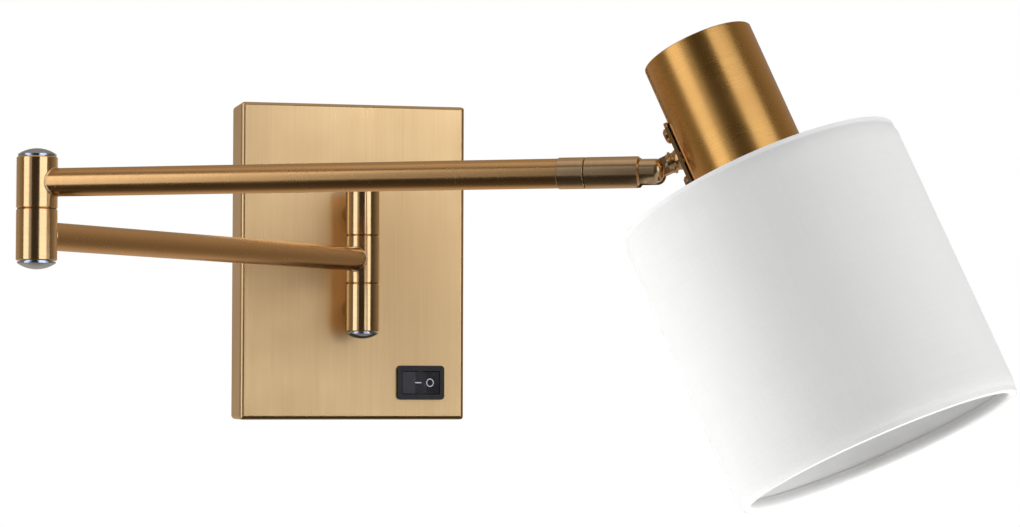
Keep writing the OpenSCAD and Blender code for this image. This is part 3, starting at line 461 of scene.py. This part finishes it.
def plated(name, place, colour, patch, roughness, squeeze=(1, 1, 1), line_scale=700.0, bump=0.01):
    """Nickel or zinc on steel: clouded patches in the colour, and fine marks from turning."""
    material, r, shader = new_material(name)
    look = place_group(r, combed, Place=place.translation, Turn=place.to_euler(), Squeeze=squeeze,
                       Line_Scale=line_scale, Cloud_Scale=160.0)
    haze = r.range(look.outputs["Clouds"], 0.35, 0.65, 0.0, 1.0)
    toned = r.blend(haze, (*colour, 1), (*patch, 1))
    toned = r.blend(r.sum("MULTIPLY", look.outputs["Specks"], SPOT_SHARE), toned, SPOT_GREY)
    r.feed(shader.inputs["Base Color"], toned)
    shader.inputs["Metallic"].default_value = 1.0
    clouded = r.range(haze, 0, 1, roughness - 0.05, roughness + 0.07)
    lined = r.sum("ADD", clouded, r.range(look.outputs["Lines"], 0.3, 0.7, -0.02, 0.03))
    r.feed(shader.inputs["Roughness"], lined)
    relief = r.add("ShaderNodeBump", Strength=1.0, Distance=bump * MM, Height=look.outputs["Lines"])
    r.feed(shader.inputs["Normal"], relief.outputs[0])
    return material


# Painted reflection tint: the nickel's blue cancels the warm room that metal sees, so the caps read bluish
# grey.
COOL_PAINTED_NICKEL = dict(colour=(0.56, 0.67, 0.88), patch=(0.47, 0.56, 0.74), roughness=0.18, squeeze=ROUND,
              bump=0.002)
ZINC = dict(colour=(0.58, 0.65, 0.76), patch=(0.46, 0.51, 0.58), roughness=0.36)
for name, place, look, solids in (
    ("cap_nickel_wall", "wall_axis", COOL_PAINTED_NICKEL, ["wall_cap_upper", "wall_cap_lower"]),
    ("cap_nickel_elbow", "elbow_axis", COOL_PAINTED_NICKEL, ["elbow_cap_upper", "elbow_cap_lower"]),
    ("zinc_wall", "plate", ZINC, ["wall_bracket", "post_nuts", "post_washers", "terminal_screws"]),
    ("zinc_head", "head", ZINC, ["tongue_nut", "holder_strap", "holder_nipple", "nipple_nut"]),
    ("zinc_swivel", "upper_arm", ZINC, ["swivel_nut"]),
    ("nickel_tilt", "tilt", COOL_PAINTED_NICKEL, ["tilt_screw"]),
):
    finish(plated(name, places[place], **look), *solids)
print("plated steel done")

# %% [markdown]
# A moulded plastic copies the skin of its mould: a fine even grit that breaks the gloss,
# long faint flow marks, and a few specks of dust. The group gives those three, and each
# plastic takes as much of them as it needs.

# %% Group: moulded skin
skin, g, given, out = new_group(
    "moulded skin",
    [("Grit Scale", FLOAT, 2600.0), ("Flow Scale", FLOAT, 90.0), ("Dust Scale", FLOAT, 380.0)],
    [("Grit", FLOAT), ("Flow", FLOAT), ("Dust", FLOAT)],
)
spot = g.add("ShaderNodeTexCoord")
grit = g.add("ShaderNodeTexVoronoi", Vector=spot.outputs["Object"], Scale=given["Grit Scale"])
flow = g.add("ShaderNodeTexNoise", Vector=spot.outputs["Object"], Scale=given["Flow Scale"],
             Detail=3.0, Distortion=1.4)
dust = g.add("ShaderNodeTexNoise", Vector=spot.outputs["Object"], Scale=given["Dust Scale"], Detail=2.0)
g.feed(out["Grit"], grit.outputs["Distance"])
g.feed(out["Flow"], flow.outputs["Fac"])
g.feed(out["Dust"], g.range(dust.outputs["Fac"], 0.68, 0.76, 0.0, 1.0))
print("moulded skin:", len(skin.nodes), "nodes")

# %% [markdown]
# The switch is black nylon, the lamp holder and terminal block are pale thermoplastic, and
# the leads wear soft PVC. The shade's painted wires and its white film liner look much like a
# moulded skin, so they share it. All of them are one recipe with other numbers.

# %% Recipe: plastic
DUST_ROUGH = 0.15
DUST_GREY = (0.55, 0.53, 0.5, 1)


def plastic(name, colour, shade, roughness, grit_bump=0.006, dust=0.1):
    """A moulded plastic with grit in its relief and flow marks in its colour."""
    material, r, shader = new_material(name)
    look = place_group(r, skin)
    toned = r.blend(r.range(look.outputs["Flow"], 0.35, 0.65, 0.0, 1.0), (*colour, 1), (*shade, 1))
    toned = r.blend(r.sum("MULTIPLY", look.outputs["Dust"], dust), toned, DUST_GREY)
    r.feed(shader.inputs["Base Color"], toned)
    flowed = r.range(look.outputs["Flow"], 0.3, 0.7, roughness - 0.05, roughness + 0.05)
    dusted = r.sum("ADD", flowed, r.sum("MULTIPLY", look.outputs["Dust"], DUST_ROUGH))
    r.feed(shader.inputs["Roughness"], dusted)
    relief = r.add("ShaderNodeBump", Strength=1.0, Distance=grit_bump * MM, Height=look.outputs["Grit"])
    r.feed(shader.inputs["Normal"], relief.outputs[0])
    return material


for name, colour, shade, roughness, grit_bump, dust, solids in (
    ("switch_bezel_nylon", (0.005, 0.005, 0.007), (0.009, 0.009, 0.012), 0.38, 0.012, 0.1,
     ["switch_housing"]),
    ("switch_rocker_nylon", (0.016, 0.016, 0.022), (0.022, 0.022, 0.030), 0.32, 0.008, 0.1,
     ["switch_rocker"]),
    ("washer_nylon", (0.02, 0.018, 0.016), (0.035, 0.03, 0.026), 0.5, 0.01, 0.1,
     ["wall_pivot_washers", "elbow_washer"]),
    ("wire_pvc_black", (0.02, 0.02, 0.022), (0.035, 0.035, 0.038), 0.42, 0.006, 0.1, ["switch_wires"]),
    ("block_polyamide", (0.74, 0.73, 0.69), (0.66, 0.65, 0.60), 0.45, 0.01, 0.3, ["terminal_block"]),
    ("holder_plastic", (0.80, 0.80, 0.78), (0.75, 0.75, 0.73), 0.33, 0.008, 0.1,
     ["lamp_holder", "shade_ring_nut"]),
    ("lead_pvc_clear", (0.70, 0.66, 0.56), (0.62, 0.57, 0.46), 0.35, 0.006, 0.1,
     ["lead_wall", "lead_lower_arm", "lead_upper_arm", "lead_head"]),
    ("wire_frame_paint", (0.82, 0.82, 0.80), (0.76, 0.76, 0.74), 0.38, 0.02, 0.1,
     ["shade_spider", "shade_bottom_ring"]),
    ("liner_film", (0.88, 0.88, 0.88), (0.85, 0.85, 0.85), 0.55, 0.004, 0.1, ["shade_liner"]),
):
    finish(plastic(name, colour, shade, roughness, grit_bump, dust), *solids)
print("plastics done")

# %% [markdown]
# Contacts are rolled brass strip, left bare, so they go brown and dull in patches.

# %% Bare contacts
ROLLED = (1, 1, 0.05)
finish(brass("contact_strip", places["plate"], (0.78, 0.60, 0.28), (0.45, 0.30, 0.12), 0.3, ROLLED, 1100.0,
             coat=0.0, cloud=0.1), "switch_contacts", "switch_contact_arm")
socket_strip = brass("socket_strip", places["cup_axis"], (0.80, 0.62, 0.30), (0.52, 0.36, 0.15), 0.28, ROUND,
                     1100.0, coat=0.0, cloud=0.1)
finish(socket_strip, "socket_contact")
print("contacts done")

# %% [markdown]
# New pieces start as a bmesh, a loose bag of points, edges and faces that operators shape.
# This helper turns one into an object at the origin, and lets it ride with its body.

# %% New pieces
WELD = 1e-7


def make_piece(name, shape, body, material, smooth=True):
    """Turns a bmesh into a piece that rides on a body."""
    bmesh.ops.remove_doubles(shape, verts=shape.verts, dist=WELD)
    bmesh.ops.recalc_face_normals(shape, faces=shape.faces)
    mesh = bpy.data.meshes.new(name)
    shape.to_mesh(mesh)
    shape.free()
    for face in mesh.polygons:
        face.use_smooth = smooth
    mesh.materials.append(material)
    piece = bpy.data.objects.new(name, mesh)
    bpy.context.scene.collection.objects.link(piece)
    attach(piece, body)
    print(name, len(mesh.polygons), "faces")
    return piece


# %% [markdown]
# The shade's cloth is plain cotton: threads over and under each other, 22 to the centimetre,
# some a little thicker than their neighbours. Two waves crossed at right angles make the
# weave. They follow the piece's own UV map, which counts metres along the cloth, so the
# threads run round and down the drum wherever it is turned.

# %% Group: plain weave
SLUB_ALONG = 14.0
SLUB_ACROSS = 1800.0
THINNEST = 0.8
LINT_SCALE = 60.0
weave, g, given, out = new_group(
    "plain weave",
    [("Threads per Metre", FLOAT, 2200.0), ("Slub", FLOAT, 0.35)],
    [("Height", FLOAT), ("Shade", FLOAT), ("Lint", FLOAT)],
)
cloth_uv = g.add("ShaderNodeUVMap", uv_map="cloth")
parts = g.add("ShaderNodeSeparateXYZ", Vector=cloth_uv.outputs[0])
slub_noise = []
for stretch in ((SLUB_ALONG, SLUB_ACROSS, 1.0), (SLUB_ACROSS, SLUB_ALONG, 1.0)):
    along = g.add("ShaderNodeMapping", Vector=cloth_uv.outputs[0], Scale=stretch)
    noise = g.add("ShaderNodeTexNoise", Vector=along.outputs[0], Scale=1.0, Detail=2.0)
    slub_noise.append(noise.outputs["Fac"])
waves = []
for axis, noise in zip(("X", "Y"), reversed(slub_noise)):
    turns = g.sum("MULTIPLY", g.sum("MULTIPLY", parts.outputs[axis], given["Threads per Metre"]), pi)
    wave = g.sum("ABSOLUTE", g.sum("SINE", turns))
    thick = g.sum("ADD", g.sum("MULTIPLY", noise, given["Slub"]), THINNEST)
    waves.append(g.sum("MULTIPLY", wave, thick))
over = g.add("ShaderNodeTexChecker", Vector=cloth_uv.outputs[0], Scale=given["Threads per Metre"])
height = g.add("ShaderNodeMix", data_type="FLOAT")
g.feed(height.inputs["Factor"], g.sum("MULTIPLY_ADD", over.outputs["Fac"], 0.5, 0.25))
g.feed(height.inputs["A"], waves[0])
g.feed(height.inputs["B"], waves[1])
lint = g.add("ShaderNodeTexNoise", Vector=cloth_uv.outputs[0], Scale=LINT_SCALE, Detail=4.0, Roughness=0.6)
g.feed(out["Height"], height.outputs["Result"])
g.feed(out["Shade"], g.sum("MULTIPLY_ADD", slub_noise[0], 0.5, g.sum("MULTIPLY", slub_noise[1], 0.5)))
g.feed(out["Lint"], lint.outputs["Fac"])
print("plain weave:", len(weave.nodes), "nodes")

# %% [markdown]
# White cotton is a soft white. The weave's height greys the gaps between its threads, which is painted
# shade in the gaps. Slubs and lint grey it a little, and a weak sheen stands for the fluff. The relief
# is far thinner than a thread, because cloth that is drawn tight lies nearly flat.

# %% Shade cloth's finish
CLOTH_WHITE = (0.83, 0.83, 0.825, 1)
CLOTH_GREY = (0.74, 0.74, 0.735, 1)
GAP_SHADE_SHARE = 0.35
SLUB_SHARE = 0.30
LINT_SHARE = 0.12
WEAVE_RELIEF = 0.00006
cotton, r, shader = new_material("shade_cotton")
look = place_group(r, weave)
# Painted shade: the weave's low places, the gaps between the threads, are darkened towards the grey.
gap_shade = r.range(look.outputs["Height"], 0.15, 0.75, 1.0, 0.0)
toned = r.blend(r.sum("MULTIPLY", gap_shade, GAP_SHADE_SHARE), CLOTH_WHITE, CLOTH_GREY)
toned = r.blend(r.range(look.outputs["Shade"], 0.35, 0.65, 0.0, SLUB_SHARE), toned, CLOTH_GREY)
toned = r.blend(r.range(look.outputs["Lint"], 0.4, 0.7, 0.0, LINT_SHARE), toned, CLOTH_GREY)
r.feed(shader.inputs["Base Color"], toned)
r.feed(shader.inputs["Roughness"], r.range(look.outputs["Height"], 0.0, 1.0, 0.95, 0.8))
shader.inputs["Sheen Weight"].default_value = 0.15
shader.inputs["Sheen Roughness"].default_value = 0.5
shader.inputs["Specular IOR Level"].default_value = 0.25
relief = r.add("ShaderNodeBump", Strength=0.6, Distance=WEAVE_RELIEF, Height=look.outputs["Height"])
r.feed(shader.inputs["Normal"], relief.outputs[0])
print("shade cotton done")

# %% [markdown]
# The shade is white cotton glued to a stiff film and drawn tight over two wire rings. Its
# raw edge is turned in over each ring and glued down inside, so the rim is a soft round
# roll, and from below a narrow hem shows all round inside.
# The section of that skin is a line of points: an inner hem, an arc round each wire, and the
# straight outer wall. Spinning a point round the wire draws the arc, and spinning the whole
# line round the shade's axis makes the drum. The UV map then holds how far round and how far
# down the cloth each point lies, and Solidify gives the thickness.

# %% Shade: cloth over two rings
SHADE_R = 0.0495
SHADE_TOP = -0.0195
SHADE_H = 0.0995
CLOTH_T = 0.0004
RING_R = 0.0474
WIRE_R = 0.0012
WIRE_INSET = 0.0016
HEM_L = 0.0030
HEM_SEAT = 0.0006
SHADE_STEPS = 192
ROLL_STEPS = 10
skin_r = SHADE_R - CLOTH_T / 2
roll_r = WIRE_R + CLOTH_T / 2
low_ring = Vector((RING_R, 0, SHADE_TOP - SHADE_H + WIRE_INSET))
high_ring = Vector((RING_R, 0, SHADE_TOP - WIRE_INSET))
cup_turn = Matrix((head_out, turn_axis["head_tilt"], head_up)).transposed().to_4x4()
on_cup_axis = Matrix.Translation(cup_at) @ cup_turn


def extend(shape, end, target, steps=1):
    """Draws the line on from its end point to a target."""
    start = end.co.copy()
    for i in range(1, steps + 1):
        step = start.lerp(target, i / steps) - end.co
        end = bmesh.ops.extrude_vert_indiv(shape, verts=[end])["verts"][0]
        bmesh.ops.translate(shape, verts=[end], vec=step)
    return end


def round_ring(shape, end, centre, angle, steps):
    """Spins the line's end point about a ring's wire."""
    made = bmesh.ops.spin(shape, geom=[end], cent=centre, axis=(0, 1, 0), angle=angle, steps=steps)
    return [item for item in made["geom_last"] if isinstance(item, bmesh.types.BMVert)][0]


shape = bmesh.new()
end = shape.verts.new((RING_R + HEM_SEAT, 0, low_ring.z + HEM_L))
end = extend(shape, end, Vector((RING_R - roll_r, 0, low_ring.z + WIRE_R)), 4)
end = extend(shape, end, Vector((RING_R - roll_r, 0, low_ring.z)))
end = round_ring(shape, end, low_ring, -pi, ROLL_STEPS)
end = extend(shape, end, Vector((skin_r, 0, low_ring.z + 2 * WIRE_R)), 2)
end = extend(shape, end, Vector((skin_r, 0, high_ring.z - 2 * WIRE_R)), 24)
end = extend(shape, end, Vector((RING_R + roll_r, 0, high_ring.z)), 2)
end = round_ring(shape, end, high_ring, -pi, ROLL_STEPS)
end = extend(shape, end, Vector((RING_R - roll_r, 0, high_ring.z - WIRE_R)))
end = extend(shape, end, Vector((RING_R + HEM_SEAT, 0, high_ring.z - HEM_L)), 4)
bmesh.ops.spin(shape, geom=shape.verts[:] + shape.edges[:], cent=(0, 0, 0), axis=(0, 0, 1), angle=2 * pi,
               steps=SHADE_STEPS, use_merge=True)


def cloth_uvs(shape, radius):
    """Metres round and metres down the cloth, for the weave."""
    layer = shape.loops.layers.uv.new("cloth")
    for face in shape.faces:
        centre = face.calc_center_median()
        middle = atan2(centre.y, centre.x)
        for loop in face.loops:
            round_angle = atan2(loop.vert.co.y, loop.vert.co.x)
            while round_angle - middle > pi:
                round_angle -= 2 * pi
            while round_angle - middle < -pi:
                round_angle += 2 * pi
            reach = Vector((loop.vert.co.x, loop.vert.co.y)).length
            loop[layer].uv = (round_angle * radius, loop.vert.co.z + radius - reach)


cloth_uvs(shape, SHADE_R)
bmesh.ops.transform(shape, matrix=on_cup_axis, verts=shape.verts)
shade_cloth = make_piece("shade_cloth", shape, "head", cotton)
thicken = shade_cloth.modifiers.new("cloth thickness", "SOLIDIFY")
thicken.thickness = CLOTH_T
thicken.offset = 0.0
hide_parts("shade_fabric")

# %% [markdown]
# A drum's cloth is a strip with two ends. They lap over each other by a finger's width and
# are glued, round at the shade's back. The lap is a grid bent round the drum, and it sinks to
# the cloth below towards its two long edges.

# %% Shade: the lapped seam
LAP_W = 0.010
LAP_AT = radians(100)
LAP_PROUD = 0.00025
LAP_EDGE = 6
shape = bmesh.new()
lap_half_h = (high_ring.z - low_ring.z) / 2 - 2 * WIRE_R
lap_mid = (high_ring.z + low_ring.z) / 2
bmesh.ops.create_grid(shape, x_segments=10, y_segments=24, size=1.0)
bmesh.ops.scale(shape, vec=(LAP_W / 2, lap_half_h, 1), verts=shape.verts)
for v in shape.verts:
    angle = LAP_AT + v.co.x / SHADE_R
    lap_r = SHADE_R + LAP_PROUD * (1 - (abs(v.co.x) / (LAP_W / 2)) ** LAP_EDGE)
    v.co = Vector((lap_r * cos(angle), lap_r * sin(angle), v.co.y + lap_mid))
cloth_uvs(shape, SHADE_R)
bmesh.ops.transform(shape, matrix=on_cup_axis, verts=shape.verts)
shade_lap = make_piece("shade_lap", shape, "head", cotton)
thicken = shade_lap.modifiers.new("cloth thickness", "SOLIDIFY")
thicken.thickness = CLOTH_T / 2
thicken.offset = -1.0

# %% [markdown]
# The lamp screws into a shell of thin brass, rolled to a coarse round thread. One line with
# a wave in it is the thread's section. A full spin that also climbs by one pitch turns that
# wave into a true screw, and two plane cuts trim the ends square.

# %% Socket: the rolled thread
THREAD_PITCH = 0.00282
SHELL_LOW = -0.0520
SHELL_HIGH = -0.0362
SHELL_IN = 0.0071
SHELL_OUT = 0.0076
THREAD_POINTS = 12
THREAD_SPIN = 72
SEAM_WELD = 1e-6
SHEET_T = 0.00018
shape = bmesh.new()
mid_r = (SHELL_IN + SHELL_OUT) / 2
wave_r = (SHELL_OUT - SHELL_IN) / 2 - 0.0001
rise = THREAD_PITCH / THREAD_POINTS
steps = int((SHELL_HIGH - SHELL_LOW) / rise) + 3 * THREAD_POINTS
line_low = SHELL_LOW - 1.5 * THREAD_PITCH
end = shape.verts.new((mid_r, 0, line_low))
for i in range(1, steps + 1):
    wave = wave_r * sin(2 * pi * i / THREAD_POINTS)
    end = extend(shape, end, Vector((mid_r + wave, 0, line_low + i * rise)))
bmesh.ops.spin(shape, geom=shape.verts[:] + shape.edges[:], cent=(0, 0, 0), axis=(0, 0, 1), angle=2 * pi,
               steps=THREAD_SPIN, dvec=(0, 0, THREAD_PITCH / THREAD_SPIN))
bmesh.ops.remove_doubles(shape, verts=shape.verts, dist=SEAM_WELD)
for cut_z, up in ((SHELL_LOW, -1), (SHELL_HIGH, 1)):
    bmesh.ops.bisect_plane(shape, geom=shape.verts[:] + shape.edges[:] + shape.faces[:],
                           plane_co=(0, 0, cut_z), plane_no=(0, 0, up), clear_outer=True)
bmesh.ops.transform(shape, matrix=on_cup_axis, verts=shape.verts)
socket_thread = make_piece("socket_thread", shape, "head", socket_strip)
thicken = socket_thread.modifiers.new("sheet", "SOLIDIFY")
thicken.thickness = SHEET_T
thicken.offset = 0.0
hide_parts("socket_shell")

# %% [markdown]
# Each tube is brazed to its barrel: where the round end of one meets the round side of the
# other, a fine bead of bright metal follows a saddle-shaped line. A ring of points round
# the tube is pushed out to the barrel's surface, and a thin round bevel on that curve makes
# the bead.

# %% Beads of braze
BARREL_R = 0.0074
TUBE_R = 0.00515
BEAD_R = 0.00042
BEAD_POINTS = 72
BRAZE = dict(colour=(0.90, 0.72, 0.46), deep=(0.80, 0.58, 0.32), roughness=0.22, squeeze=(1, 1, 1),
             line_scale=700.0)
braze = {
    "wall": brass("braze_wall", places["wall_axis"], **BRAZE),
    "lower_arm": brass("braze_lower", places["lower_arm"], **BRAZE),
    "upper_arm": brass("braze_upper", places["upper_arm"], **BRAZE),
}


def bead(name, body, at, along):
    """A closed bead where a tube that runs along a direction meets an upright barrel at a point."""
    place = lie(at, along, Vector((0, 0, 1)).cross(Vector(along)))
    line = bpy.data.curves.new(name, "CURVE")
    line.dimensions = "3D"
    line.bevel_depth = BEAD_R
    line.bevel_resolution = 3
    run = line.splines.new("POLY")
    run.points.add(BEAD_POINTS - 1)
    for i, point in enumerate(run.points):
        angle = 2 * pi * i / BEAD_POINTS
        side, up = TUBE_R * cos(angle), TUBE_R * sin(angle)
        out_to = sqrt(BARREL_R ** 2 - side ** 2)
        point.co = (*(place @ Vector((out_to, side, up))), 1)
    run.use_cyclic_u = True
    draft = bpy.data.objects.new(name + "_draft", line)
    bpy.context.scene.collection.objects.link(draft)
    bpy.context.view_layer.update()
    shape = bmesh.new()
    shape.from_mesh(draft.to_mesh())
    bpy.data.objects.remove(draft)
    make_piece(name, shape, body, braze[body])


post_up = Vector((0, 0, (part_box("upper_post")[0].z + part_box("upper_post")[1].z) / 2))
arm_out = pivot["elbow_pivot"] - pivot["wall_pivot"]
bead("bead_post_upper", "wall", pivot["wall_pivot"] + post_up, (0, 1, 0))
bead("bead_post_lower", "wall", pivot["wall_pivot"] - post_up, (0, 1, 0))
bead("bead_knuckle", "lower_arm", pivot["wall_pivot"], arm_out)
bead("bead_elbow_lower", "lower_arm", pivot["elbow_pivot"], -arm_out)
bead("bead_elbow_upper", "upper_arm", upper_at, turn_axis["head_swivel"])

# %% [markdown]
# The rocker carries the two signs for on and off, a bar and a ring, printed in pale grey
# and a hair proud of the plastic. They sit on the rocker, so they tip with it. The rocker's
# middle is flat and its right half rises, so the ring is tipped to lie on that slope.

# %% Switch: the two signs
ROCKER_TILT = radians(-7)
SWITCH_AT = Vector((0.0302, -0.025, -0.0532))
PIVOT_UP = 0.0008
ROCKER_FLAT_Z = 0.00125
ROCKER_FLAT_END = 0.00243
ROCKER_RISE = 0.00075
ROCKER_RUN = 0.00567
SIGN_PROUD = 0.00006
BAR_AT = -0.0011
BAR_L = 0.0028
BAR_W = 0.00042
BAR_ROUNDING = 0.00012
RING_AT = 0.00407
RING_SIGN_IN = 0.00142
RING_SIGN_OUT = 0.00184
RING_SQUASH = 0.90
RING_SIGN_STEPS = 48
stand_up = Matrix.Rotation(radians(90), 4, "X")
tip = Matrix.Rotation(ROCKER_TILT, 4, "Y")
on_rocker = Matrix.Translation(SWITCH_AT) @ stand_up @ Matrix.Translation((0, 0, PIVOT_UP)) @ tip
sign_print = plastic("sign_print", (0.62, 0.64, 0.66), (0.52, 0.54, 0.56), 0.45, 0.004, dust=0.0)

shape = bmesh.new()
bmesh.ops.create_cube(shape, size=1.0)
bmesh.ops.scale(shape, vec=(BAR_L, BAR_W, 2 * SIGN_PROUD), verts=shape.verts)
corners = [e for e in shape.edges if abs(e.verts[0].co.z - e.verts[1].co.z) > SIGN_PROUD]
bmesh.ops.bevel(shape, geom=corners, offset=BAR_ROUNDING, offset_type="OFFSET", affect="EDGES", segments=3,
                profile=0.5, material=-1)
on_flat = Matrix.Translation((BAR_AT, 0, ROCKER_FLAT_Z))
bmesh.ops.transform(shape, matrix=on_rocker @ on_flat, verts=shape.verts)
make_piece("sign_off", shape, "rocker", sign_print, smooth=False)

shape = bmesh.new()
bmesh.ops.create_circle(shape, segments=RING_SIGN_STEPS, radius=RING_SIGN_IN)
bmesh.ops.create_circle(shape, segments=RING_SIGN_STEPS, radius=RING_SIGN_OUT)
bmesh.ops.bridge_loops(shape, edges=shape.edges[:])
bmesh.ops.scale(shape, vec=(RING_SQUASH, 1.0, 1.0), verts=shape.verts)
raised = bmesh.ops.extrude_face_region(shape, geom=shape.faces[:])
top = [item for item in raised["geom"] if isinstance(item, bmesh.types.BMVert)]
bmesh.ops.translate(shape, verts=top, vec=(0, 0, SIGN_PROUD))
slope_z = ROCKER_FLAT_Z + (RING_AT - ROCKER_FLAT_END) * ROCKER_RISE / ROCKER_RUN
slope = atan2(ROCKER_RISE, ROCKER_RUN)
on_slope = Matrix.Translation((RING_AT, 0, slope_z)) @ Matrix.Rotation(-slope, 4, "Y")
bmesh.ops.transform(shape, matrix=on_rocker @ on_slope, verts=shape.verts)
make_piece("sign_on", shape, "rocker", sign_print, smooth=False)

# %% [markdown]
# The floor is plain pale paint, only there so that the lamp's other views have a ground.

# %% Floor finish
floor_paint = plastic("floor_paint", (0.86, 0.86, 0.86), (0.84, 0.84, 0.84), 0.8, 0.01, dust=0.0)
floor_mesh.materials.append(floor_paint)
